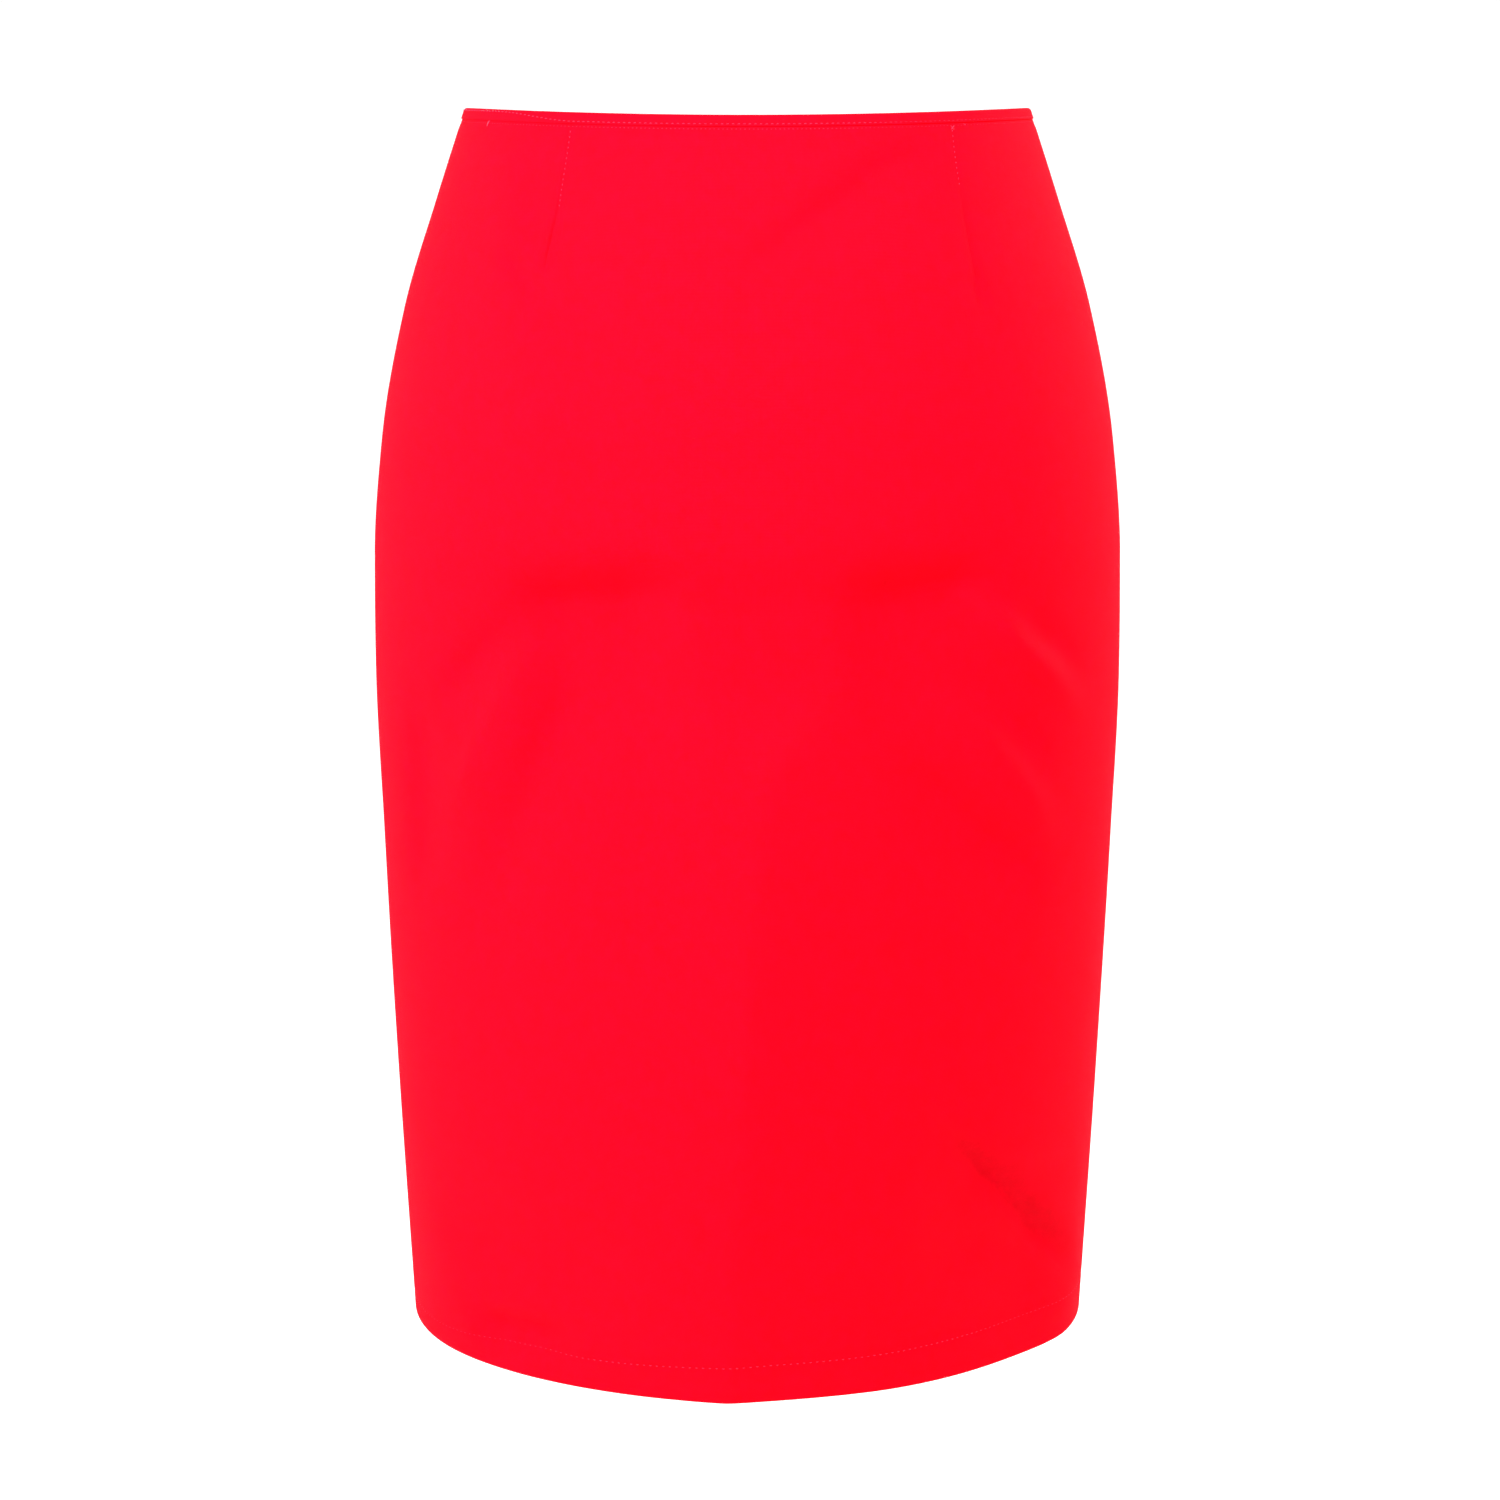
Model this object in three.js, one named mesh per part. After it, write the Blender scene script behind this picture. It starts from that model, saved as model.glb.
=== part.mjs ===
// A knee-length pencil skirt in stretch cloth, filled out as it is when worn, with nobody in it.
// Units are millimetres. +Z is up, +X is the wearer's right and +Y the wearer's front, so the back
// faces -Y. The origin is the middle of the waist opening, level with its edge at the side seams.
// Every point of the cloth is given in the maker's own terms: "round" is the distance along the
// cloth from the centre line, "below" the distance under the waist edge, and "raised" how far the
// point stands out from the form.
import * as THREE from "three";

// Driving dimensions.
const LENGTH = 580; // waist edge to hem, down a side seam
const CLOTH = 1.5; // one layer of cloth
const SEAM_GAP = 0.3; // left between two pieces that are sewn together
const WAIST_DIP = 3.5; // the waist edge is this much lower at centre back and centre front
const DIP_ENDS = 120; // and level again this far below
const HEM_TURN = 20; // cloth turned up inside the hem
const HEM_ROUNDING = 1.4; // the fold at the hem is rounded over this height

// The waist binding is one narrow strip, folded over the top edge of both panels.
const BINDING = {
  height: 5,
  layer: 0.9,
  proud: 0.5,
  corner: 0.4,
};

// Darts: a sewn line that pinches the cloth in, from the waist to a point.
const DART_LIP = 1.5; // half the width of the groove along the sewn line
const DART_GROOVE = 0.6;

// Side seams: the cloth turns in a little on both sides of the sewn line.
const SEAM_LIP = 2;
const SEAM_GROOVE = 0.4;

const BACK = -1;
const FRONT = 1;

// The form, ring by ring. half: side seam to the middle. back and front: depth from the side seams
// to the centre line. square: power of the superellipse, 2 for a true ellipse.
const RINGS = [
  { below: 0, half: 130, back: 92, front: 98, square: 2.05 },
  { below: 40, half: 143.5, back: 106, front: 105, square: 2.1 },
  { below: 90, half: 159.3, back: 119.5, front: 111, square: 2.2 },
  { below: 150, half: 171, back: 129.5, front: 114, square: 2.25 },
  { below: 205, half: 175.8, back: 131, front: 114, square: 2.25 },
  { below: 260, half: 176.7, back: 126, front: 113, square: 2.2 },
  { below: 340, half: 174.5, back: 125.5, front: 112, square: 2.1 },
  { below: 460, half: 170, back: 127, front: 112, square: 2.08 },
  { below: LENGTH, half: 164.5, back: 125.5, front: 113, square: 2.1 },
];

// Where each dart starts on the waist edge and where its point is. A bend of 1 is a straight line,
// and above that the line leans outwards more and more on its way down.
const DARTS = [
  { face: BACK, topRound: -79.5, endRound: -91, ends: 68, bend: 1.35 },
  { face: BACK, topRound: 94.2, endRound: 105.8, ends: 79, bend: 1.4 },
  { face: FRONT, topRound: -84, endRound: -92, ends: 62, bend: 1.3 },
  { face: FRONT, topRound: 84, endRound: 92, ends: 62, bend: 1.3 },
];

// The largest folds: soft troughs, from one end to the other in round and below, each written so
// that it runs towards the wearer's right. upper and lower are its widths above and under that line.
// Where lower is large, the cloth turns in and stays in. A negative depth is a low ridge.
const FOLD_COLUMNS = [
  "face", "round0", "below0", "round1", "below1", "upper", "lower", "depth",
];
const FOLDS = [
  // Back: the hollows under the seat and the low place between them.
  [BACK, -108, 216, -32, 209, 11, 70, 8.8],
  [BACK, 45, 214, 112, 206, 11.5, 56, 7.8],
  [BACK, -188, 217, 190, 216, 15, 76, 3.2],
  // Back: the drag lines that run from the hollows to the sides, with the cloth between them.
  [BACK, -141, 314, -93, 228, 10, 20, -4.4],
  [BACK, -127, 362, -76, 246, 11, 18, 2.8],
  [BACK, 100, 214, 166, 268, 9, 9, -3.6],
  [BACK, 100, 242, 142, 288, 7, 12, 3.6],
  [BACK, 95, 256, 148, 322, 8, 9, -3.2],
  [BACK, 72, 284, 138, 346, 9, 20, 4.6],
  // Back: the folds by the hem and under the waist.
  [BACK, 88, 456, 184, 545, 8, 46, 4.4],
  [BACK, 88, 498, 168, 574, 16, 50, 3.7],
  [BACK, -1, 70, 86, 7, 9, 18, 3.2],
  [BACK, -117, 8, -91, 162, 12, 20, -1.7],
  // Front: like folds where the thighs carry the cloth.
  [FRONT, -150, 197, -44, 214, 14, 50, 1.9],
  [FRONT, 38, 216, 144, 201, 14, 46, 1.7],
  [FRONT, -132, 322, -62, 238, 11, 15, 1.6],
  [FRONT, 66, 242, 136, 334, 12, 16, 1.7],
  [FRONT, -176, 534, -104, 472, 9, 32, 1.6],
  [FRONT, -66, 10, -6, 58, 9, 15, 1.2],
  [FRONT, 0, 250, 0, 560, 34, 36, 3],
].map((row) => Object.fromEntries(row.map((value, i) => [FOLD_COLUMNS[i], value])));

// The soft ridge down the back, where the cloth spans between the legs. crest: how far round it
// lies. height: how far it stands out. left and right: how far it reaches to both sides.
const RIDGE = [
  { below: 205, crest: 50, height: 0.2, left: 42, right: 40 },
  { below: 250, crest: 40, height: 4, left: 58, right: 50 },
  { below: 300, crest: 8, height: 9, left: 48, right: 60 },
  { below: 420, crest: 0, height: 13, left: 60, right: 50 },
  { below: LENGTH, crest: -9, height: 9, left: 62, right: 44 },
];
const RIDGE_ROUNDING = 4;
const RIDGE_FADE = 30; // it fades in over this height above its first row

// The grid: rows from the waist to the hem, and columns between seam, darts and seam.
const UNDER_BINDING = BINDING.height + SEAM_GAP;
const ROW_BANDS = [
  { to: UNDER_BINDING, steps: 1 },
  { to: UNDER_BINDING + CLOTH, steps: 1 },
  { to: 150, steps: 8 },
  { to: 240, steps: 7 },
  { to: LENGTH - HEM_TURN - SEAM_GAP, steps: 11 },
  { to: LENGTH - HEM_TURN + SEAM_GAP, steps: 1 },
  { to: LENGTH - HEM_ROUNDING, steps: 1 },
  { to: LENGTH, steps: 1 },
];
const COLUMN_STEPS = {
  [BACK]: { side: 10, middle: 16 },
  [FRONT]: { side: 8, middle: 12 },
};
const RING_STEPS = 180; // chords that measure the distance round half a ring

// The folds fade in below the binding, which holds the edge smooth.
const FOLDS_START = UNDER_BINDING;
const FOLDS_FULL = 24;

const RED = 0xff002b;

/** Eases from 0 to 1 as value goes from low to high. */
function ease(value, low, high) {
  return THREE.MathUtils.smoothstep(value, low, high);
}

/**
 * A smooth curve through one column of a table: cubic pieces whose slopes can't overshoot. Above the
 * first row and below the last it stays level.
 */
function smoothCurve(table, name) {
  const steps = table.slice(1).map((row, i) => row.below - table[i].below);
  const slopes = table.slice(1).map((row, i) => (row[name] - table[i][name]) / steps[i]);
  const tangents = table.map((_, i) => {
    if (i === 0) return slopes[0];
    if (i === table.length - 1) return slopes[i - 1];
    if (slopes[i - 1] * slopes[i] <= 0) return 0;
    const before = 2 * steps[i] + steps[i - 1];
    const after = steps[i] + 2 * steps[i - 1];
    return (before + after) / (before / slopes[i - 1] + after / slopes[i]);
  });
  const last = table.length - 1;
  return (height) => {
    const below = THREE.MathUtils.clamp(height, table[0].below, table[last].below);
    const next = table.findIndex((row) => row.below > below);
    const i = next < 0 ? last - 1 : next - 1;
    const t = (below - table[i].below) / steps[i];
    return (
      (2 * t ** 3 - 3 * t ** 2 + 1) * table[i][name] +
      (t ** 3 - 2 * t ** 2 + t) * steps[i] * tangents[i] +
      (3 * t ** 2 - 2 * t ** 3) * table[i + 1][name] +
      (t ** 3 - t ** 2) * steps[i] * tangents[i + 1]
    );
  };
}

const formAt = {
  half: smoothCurve(RINGS, "half"),
  square: smoothCurve(RINGS, "square"),
  [BACK]: smoothCurve(RINGS, "back"),
  [FRONT]: smoothCurve(RINGS, "front"),
};

const ridgeAt = {
  crest: smoothCurve(RIDGE, "crest"),
  height: smoothCurve(RIDGE, "height"),
  left: smoothCurve(RIDGE, "left"),
  right: smoothCurve(RIDGE, "right"),
};

/** Half a ring at one height: its size, and a table of points with their distance round. */
function halfRing(face, below) {
  const half = formAt.half(below);
  const depth = formAt[face](below);
  const square = formAt.square(below);
  const table = [];
  for (let i = 0; i <= RING_STEPS; i++) {
    const angle = Math.PI * (i / RING_STEPS - 0.5);
    const x = half * Math.sign(angle) * Math.abs(Math.sin(angle)) ** (2 / square);
    const y = face * depth * Math.abs(Math.cos(angle)) ** (2 / square);
    const last = table[i - 1];
    const along = last ? last.along + Math.hypot(x - last.x, y - last.y) : 0;
    table.push({ x, y, along });
  }
  const reach = table[RING_STEPS].along / 2;
  return { face, below, half, depth, square, reach, table };
}

/** The point of a half ring at that distance round, and its outward direction. */
function onRing(ring, round) {
  const along = THREE.MathUtils.clamp(round + ring.reach, 0, 2 * ring.reach);
  const next = Math.max(1, ring.table.findIndex((row) => row.along >= along - 1e-9));
  const a = ring.table[next - 1];
  const b = ring.table[next];
  const t = (along - a.along) / (b.along - a.along);
  const x = THREE.MathUtils.lerp(a.x, b.x, t);
  const y = THREE.MathUtils.lerp(a.y, b.y, t);
  const power = ring.square - 1;
  const out = new THREE.Vector2(
    (Math.sign(x) * Math.abs(x / ring.half) ** power) / ring.half,
    (ring.face * Math.abs(y / ring.depth) ** power) / ring.depth,
  ).normalize();
  return { x, y, out };
}

/** A point of the cloth, raised outwards from the form. */
function clothPoint(ring, round, raised) {
  const { x, y, out } = onRing(ring, round);
  const dip = WAIST_DIP * (1 - (x / ring.half) ** 2) * (1 - ease(ring.below, 0, DIP_ENDS));
  return new THREE.Vector3(x + out.x * raised, y + out.y * raised, -ring.below - dip);
}

/**
 * How far round a ring a dart's sewn line crosses it. Past its point the line keeps its share of the
 * way to the side seam.
 */
function dartLine(dart, ring) {
  const { face, topRound, endRound, ends, bend } = dart;
  if (ring.below > ends) return (endRound * ring.reach) / halfRing(face, ends).reach;
  return THREE.MathUtils.lerp(topRound, endRound, (ring.below / ends) ** bend);
}

/** The height of one fold at a point: a trough across its line that fades out at both ends. */
function foldHeight(fold, round, below) {
  const run = fold.round1 - fold.round0;
  const drop = fold.below1 - fold.below0;
  const long = Math.hypot(run, drop);
  const along = ((round - fold.round0) * run + (below - fold.below0) * drop) / long;
  const across = ((round - fold.round0) * drop - (below - fold.below0) * run) / long;
  const width = across > 0 ? fold.upper : fold.lower;
  const fade = long / 3;
  const ends = ease(along, -fade / 2, fade) * (1 - ease(along, long - fade, long + fade / 2));
  return -fold.depth * Math.exp(-((across / width) ** 2)) * ends;
}

/** The height of the ridge down the back: a tent with a rounded top. */
function ridgeHeight(round, below) {
  const starts = RIDGE[0].below;
  const aside = round - ridgeAt.crest(below);
  const across = Math.hypot(aside, RIDGE_ROUNDING) - RIDGE_ROUNDING;
  const reach = aside < 0 ? ridgeAt.left(below) : ridgeAt.right(below);
  const on = ease(below, starts - RIDGE_FADE, starts);
  return ridgeAt.height(below) * on * Math.exp(-across / reach);
}

/** All the folds of one face at a point. */
function relief(face, round, below) {
  const folds = FOLDS.filter((fold) => fold.face === face);
  const troughs = folds.reduce((sum, fold) => sum + foldHeight(fold, round, below), 0);
  const fade = ease(below, FOLDS_START, FOLDS_FULL);
  return (face === BACK ? troughs + ridgeHeight(round, below) : troughs) * fade;
}

/** Where the columns cross a ring: even steps between the seams and darts, and both their lips. */
function columnsAt(ring, edge) {
  const steps = COLUMN_STEPS[ring.face];
  const darts = DARTS.filter((dart) => dart.face === ring.face);
  const [left, right] = darts.map((dart) => dartLine(dart, ring));
  const stretches = [
    { from: -edge, to: SEAM_LIP - edge, steps: 1 },
    { from: SEAM_LIP - edge, to: left - DART_LIP, steps: steps.side },
    { from: left - DART_LIP, to: left, steps: 1 },
    { from: left, to: left + DART_LIP, steps: 1 },
    { from: left + DART_LIP, to: right - DART_LIP, steps: steps.middle },
    { from: right - DART_LIP, to: right, steps: 1 },
    { from: right, to: right + DART_LIP, steps: 1 },
    { from: right + DART_LIP, to: edge - SEAM_LIP, steps: steps.side },
    { from: edge - SEAM_LIP, to: edge, steps: 1 },
  ];
  const columns = stretches.flatMap(({ from, to, steps: count }) =>
    Array.from({ length: count }, (_, i) => from + ((to - from) * i) / count),
  );
  return [...columns, edge];
}

/** Where the rows lie, in mm below the waist edge. */
function rowHeights() {
  const rows = [BINDING.layer + BINDING.corner];
  for (const band of ROW_BANDS) {
    const from = rows[rows.length - 1];
    for (let i = 1; i <= band.steps; i++) rows.push(from + ((band.to - from) * i) / band.steps);
  }
  return rows;
}

/** Joins an outer and an inner grid of points, and their four edges, into one closed wall. */
function wallGeometry(outer, inner) {
  const rows = outer.length;
  const columns = outer[0].length;
  const points = [...outer.flat(), ...inner.flat()];
  const at = (row, column, layer) => (layer * rows + row) * columns + column;
  const faces = [];
  const quad = (a, b, c, d) => faces.push(a, b, c, a, c, d);
  for (let r = 0; r < rows - 1; r++) {
    for (let c = 0; c < columns - 1; c++) {
      quad(at(r, c, 0), at(r + 1, c, 0), at(r + 1, c + 1, 0), at(r, c + 1, 0));
      quad(at(r, c, 1), at(r, c + 1, 1), at(r + 1, c + 1, 1), at(r + 1, c, 1));
    }
    const right = columns - 1;
    quad(at(r, 0, 0), at(r, 0, 1), at(r + 1, 0, 1), at(r + 1, 0, 0));
    quad(at(r, right, 0), at(r + 1, right, 0), at(r + 1, right, 1), at(r, right, 1));
  }
  for (let c = 0; c < columns - 1; c++) {
    const hem = rows - 1;
    quad(at(0, c, 0), at(0, c + 1, 0), at(0, c + 1, 1), at(0, c, 1));
    quad(at(hem, c, 0), at(hem, c, 1), at(hem, c + 1, 1), at(hem, c + 1, 0));
  }
  return new THREE.BufferGeometry().setFromPoints(points).setIndex(faces);
}

/** One panel: the cloth from side seam to side seam, with its darts, folds and turned-up hem. */
function panelGeometry(face) {
  const outer = [];
  const inner = [];
  for (const below of rowHeights()) {
    const ring = halfRing(face, below);
    const columns = columnsAt(ring, ring.reach - SEAM_GAP / 2);
    const tucked = BINDING.layer - BINDING.proud + SEAM_GAP;
    const tuck = tucked * (1 - ease(below, UNDER_BINDING, UNDER_BINDING + CLOTH));
    const layers = below > LENGTH - HEM_TURN ? 2 : 1;
    const rounding = below === LENGTH ? CLOTH / 2 : 0;
    const darts = DARTS.filter((dart) => dart.face === face && below < dart.ends);
    const sewn = darts.map((dart) => dartLine(dart, ring));
    const groove = (round) => {
      const free = below > UNDER_BINDING + CLOTH / 2;
      if (free && sewn.some((line) => Math.abs(line - round) < DART_LIP / 2)) return DART_GROOVE;
      return free && Math.abs(round) > ring.reach - SEAM_GAP ? SEAM_GROOVE : 0;
    };
    const height = (round) => relief(face, round, below) - tuck;
    // Seen from outside, the back runs from -X to +X, and the front the other way.
    const across = face === BACK ? columns : columns.toReversed();
    outer.push(
      across.map((round) => clothPoint(ring, round, height(round) - groove(round) - rounding)),
    );
    inner.push(
      across.map((round) => clothPoint(ring, round, height(round) - layers * CLOTH + rounding)),
    );
  }
  return wallGeometry(outer, inner);
}

/** The waist binding: a channel section, open downwards, carried all round the waist. */
function bindingGeometry() {
  const { height, layer, proud, corner } = BINDING;
  const inside = proud - layer - SEAM_GAP - CLOTH - SEAM_GAP - layer;
  const section = [
    { raised: proud, below: height },
    { raised: proud, below: corner },
    { raised: proud - corner, below: 0 },
    { raised: inside + corner, below: 0 },
    { raised: inside, below: corner },
    { raised: inside, below: height },
    { raised: inside + layer, below: height },
    { raised: inside + layer, below: layer + corner - SEAM_GAP },
    { raised: proud - layer, below: layer + corner - SEAM_GAP },
    { raised: proud - layer, below: height },
  ];
  // Each line runs once round the waist: along the back from -X to +X, then along the front.
  const lines = section.map(({ raised, below }) => {
    const back = halfRing(BACK, below);
    const front = halfRing(FRONT, below);
    const frontColumns = columnsAt(front, front.reach).toReversed().slice(1, -1);
    return [
      ...columnsAt(back, back.reach).map((round) => clothPoint(back, round, raised)),
      ...frontColumns.map((round) => clothPoint(front, round, raised)),
    ];
  });
  const stations = lines[0].length;
  const at = (line, station) => (line % lines.length) * stations + (station % stations);
  const faces = [];
  for (let line = 0; line < lines.length; line++) {
    for (let s = 0; s < stations; s++) {
      const [a, b] = [at(line, s), at(line, s + 1)];
      const [c, d] = [at(line + 1, s + 1), at(line + 1, s)];
      faces.push(a, b, c, a, c, d);
    }
  }
  return new THREE.BufferGeometry().setFromPoints(lines.flat()).setIndex(faces);
}

/** A named piece of the skirt in its own cloth. */
function piece(name, geometry) {
  const cloth = new THREE.MeshStandardMaterial({ color: RED, roughness: 0.85, metalness: 0 });
  const mesh = new THREE.Mesh(geometry, cloth);
  mesh.name = name;
  return mesh;
}

const skirt = new THREE.Group();
skirt.add(
  piece("back_panel", panelGeometry(BACK)),
  piece("front_panel", panelGeometry(FRONT)),
  piece("waist_binding", bindingGeometry()),
);

export default skirt;
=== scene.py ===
# %% [markdown]
# # A pencil skirt, seen from behind
#
# This skirt is a tube of dense stretch knit. A back and a front are sewn together at the sides, and
# each has two darts that shape the waist. A narrow strip binds the top edge, and the hem is turned
# up and stitched. It hangs filled out, as it does when it is worn, but there is nobody in it.
#
# The plan: load the fixed model that holds the sizes, set up the camera, then dress each piece of
# the model with a finer surface of cloth, sew it, and light it as a studio would.

import math

import bpy
import numpy as np
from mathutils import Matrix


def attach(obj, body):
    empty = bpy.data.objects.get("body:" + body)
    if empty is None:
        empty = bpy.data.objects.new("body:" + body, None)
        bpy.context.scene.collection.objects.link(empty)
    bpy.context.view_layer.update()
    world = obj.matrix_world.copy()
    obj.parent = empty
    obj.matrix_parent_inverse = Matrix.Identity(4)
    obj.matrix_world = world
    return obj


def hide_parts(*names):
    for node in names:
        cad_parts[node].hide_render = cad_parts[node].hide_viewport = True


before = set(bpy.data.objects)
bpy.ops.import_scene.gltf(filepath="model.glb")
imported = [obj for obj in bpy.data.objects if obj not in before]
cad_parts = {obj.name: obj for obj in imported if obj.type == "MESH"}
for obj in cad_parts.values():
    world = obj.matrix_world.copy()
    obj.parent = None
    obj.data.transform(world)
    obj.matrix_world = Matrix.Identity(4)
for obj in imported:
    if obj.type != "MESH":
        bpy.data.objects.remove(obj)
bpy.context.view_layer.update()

# %% [markdown]
# ## The camera
#
# The photographer stood about a metre and a half behind the skirt, a little above its middle, and
# looked down on it. That is why the hem shows as a curve. The camera comes first, so that every
# later step can be judged through it. Blender's camera looks down its own -Z, so turning it by 90
# degrees about X levels it, and a little less tips it down.

# %% Camera
CAMERA_AT = (0.0012, -1.450, -0.010)
CAMERA_DOWN = math.radians(11.4)
CAMERA_LENS = 73.8  # mm, for a sensor 36 mm wide

camera_data = bpy.data.cameras.new("studio_camera")
camera_data.lens = CAMERA_LENS
camera_data.sensor_width = 36
camera = bpy.data.objects.new("studio_camera", camera_data)
camera.location = CAMERA_AT
camera.rotation_euler = (math.pi / 2 - CAMERA_DOWN, 0, 0)
bpy.context.scene.collection.objects.link(camera)
bpy.context.scene.camera = camera
bpy.context.scene.view_settings.view_transform = "Standard"
print("camera at", CAMERA_AT, "looking down", round(math.degrees(CAMERA_DOWN), 1), "degrees")

# %% [markdown]
# ## The skirt's sizes
#
# A pattern cutter describes a skirt by its girths at a few heights. Here each height has a ring:
# half its width, its depth to the back and to the front, and how square it is. The rings are a
# short table with named columns, in millimetres, as on the cutter's list. A smooth curve through
# each column then gives the ring at any height between.

# %% Rings of the form
MM = 0.001
LENGTH = 580.0  # waist edge to hem at the side
CLOTH = 1.5  # one layer of cloth
WAIST_DIP = 3.5  # the waist edge is lower by this at centre back and front
DIP_ENDS = 120.0  # the dip has faded out this far below the waist
HEM_TURN = 20.0  # how much cloth is turned up inside at the hem

BACK, FRONT = -1, 1
RING_COLUMNS = [(name, float) for name in ("below", "half", "back", "front", "square")]
RINGS = np.array(
    [
        (0, 130, 92, 98, 2.05),
        (40, 143.5, 106, 105, 2.1),
        (90, 159.3, 119.5, 111, 2.2),
        (150, 171, 129.5, 114, 2.25),
        (205, 175.8, 131, 114, 2.25),
        (260, 176.7, 126, 113, 2.2),
        (340, 174.5, 125.5, 112, 2.1),
        (460, 170, 127, 112, 2.08),
        (LENGTH, 164.5, 125.5, 113, 2.1),
    ],
    dtype=RING_COLUMNS,
)


def smooth_curve(at, name, table=RINGS):
    """One column of a table at any height, as cubic pieces that never overshoot it.

    The slope at a row is the weighted harmonic mean of the slopes on both sides of it, and zero
    where they have opposite signs. Above the first row and below the last the value stays.
    """
    x, y = table["below"], table[name]
    at = np.clip(at, x[0], x[-1])
    step = np.diff(x)
    slope = np.diff(y) / step
    before, after = 2 * step[1:] + step[:-1], step[1:] + 2 * step[:-1]
    same = slope[:-1] * slope[1:] > 0
    safe = np.where(same, slope[:-1], 1), np.where(same, slope[1:], 1)
    mean = np.where(same, (before + after) / (before / safe[0] + after / safe[1]), 0)
    tangent = np.concatenate([slope[:1], mean, slope[-1:]])
    i = np.clip(np.searchsorted(x, at, side="right") - 1, 0, len(step) - 1)
    t = (at - x[i]) / step[i]
    return (
        (2 * t**3 - 3 * t**2 + 1) * y[i]
        + (t**3 - 2 * t**2 + t) * step[i] * tangent[i]
        + (3 * t**2 - 2 * t**3) * y[i + 1]
        + (t**3 - t**2) * step[i] * tangent[i + 1]
    )


print("half widths at waist, seat and hem:", smooth_curve(np.array([0.0, 200.0, LENGTH]), "half"))

# %% [markdown]
# ## A point of the cloth
#
# A maker finds a point on a skirt by two measures: how far round it is from the centre line, along
# the cloth, and how far below the waist edge. So a piece here is a function of those two. The ring
# at that height is a superellipse, a curve between an ellipse and a rounded box. Its points are
# measured with a fine chain of chords, and the wanted distance is looked up in that chain.

# %% From cloth measures to space
CHORDS = 720
ANGLES = np.linspace(-np.pi / 2, np.pi / 2, CHORDS + 1)


def ease(value, low, high):
    """0 up to low, 1 from high on, and three t squared less two t cubed between."""
    t = np.clip((value - low) / (high - low), 0, 1)
    return t * t * (3 - 2 * t)


def ring_points(face, below, angle):
    """x = half * sin^(2/square) and y = depth * cos^(2/square), with the sine's sign kept.

    The half width and the depth of each ring come with them.
    """
    half = smooth_curve(below, "half")
    depth = smooth_curve(below, "back" if face == BACK else "front")
    power = 2 / smooth_curve(below, "square")
    x = half * np.sign(angle) * np.abs(np.sin(angle)) ** power
    y = face * depth * np.abs(np.cos(angle)) ** power
    return x, y, half, depth


def chains(face, below):
    """For each height in a column, the distance round at every one of ANGLES, 0 at the centre."""
    x, y = ring_points(face, below[:, None], ANGLES[None, :])[:2]
    along = np.cumsum(np.hypot(np.diff(x), np.diff(y)), axis=1)
    along = np.concatenate([np.zeros((len(below), 1)), along], axis=1)
    return along - along[:, -1:] / 2


def reach(face, below):
    """The distance round from the centre line to the side seam, at each height."""
    return chains(face, np.atleast_1d(np.asarray(below, float)))[:, -1]


def cloth_point(face, around, below, raised):
    """The point of the form at (around, below), moved out by raised along the ring's normal.

    around and raised have a row for each entry of below. The waist edge dips by WAIST_DIP times one
    less the square of x over half, and that dip fades out by DIP_ENDS.
    """
    tables = chains(face, below)
    angle = np.stack([np.interp(a, table, ANGLES) for a, table in zip(around, tables)])
    x, y, half, depth = ring_points(face, below[:, None], angle)
    power = smooth_curve(below, "square")[:, None] - 1
    out_x = np.sign(x) * np.abs(x / half) ** power / half
    out_y = face * np.abs(y / depth) ** power / depth
    size = np.hypot(out_x, out_y)
    dip = WAIST_DIP * (1 - (x / half) ** 2) * (1 - ease(below[:, None], 0, DIP_ENDS))
    return np.stack(
        [x + out_x / size * raised, y + out_y / size * raised, -below[:, None] - dip], axis=-1
    )


GIRTH_AT = {"waist": 0.0, "hips": 205.0, "hem": LENGTH}
for place, height in GIRTH_AT.items():
    girth = 2 * (reach(BACK, height) + reach(FRONT, height))[0]
    print(f"{place} is {girth:.0f} mm round")

# %% [markdown]
# ## The folds
#
# A close skirt has few folds, but each one tells where the cloth is pulled: hollows under the seat,
# drag lines from there to the hips, and one long soft ridge where the cloth spans from leg to leg.
# They could be simulated, but a simulation puts them where it likes. Each is given here, as a
# soft trough with two ends, a width and a depth, and no two are alike.

# %% Table of folds
FOLD_COLUMNS = ("face", "round0", "below0", "round1", "below1", "upper", "lower", "depth")
FOLD_TABLE = [(name, float) for name in FOLD_COLUMNS]
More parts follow.
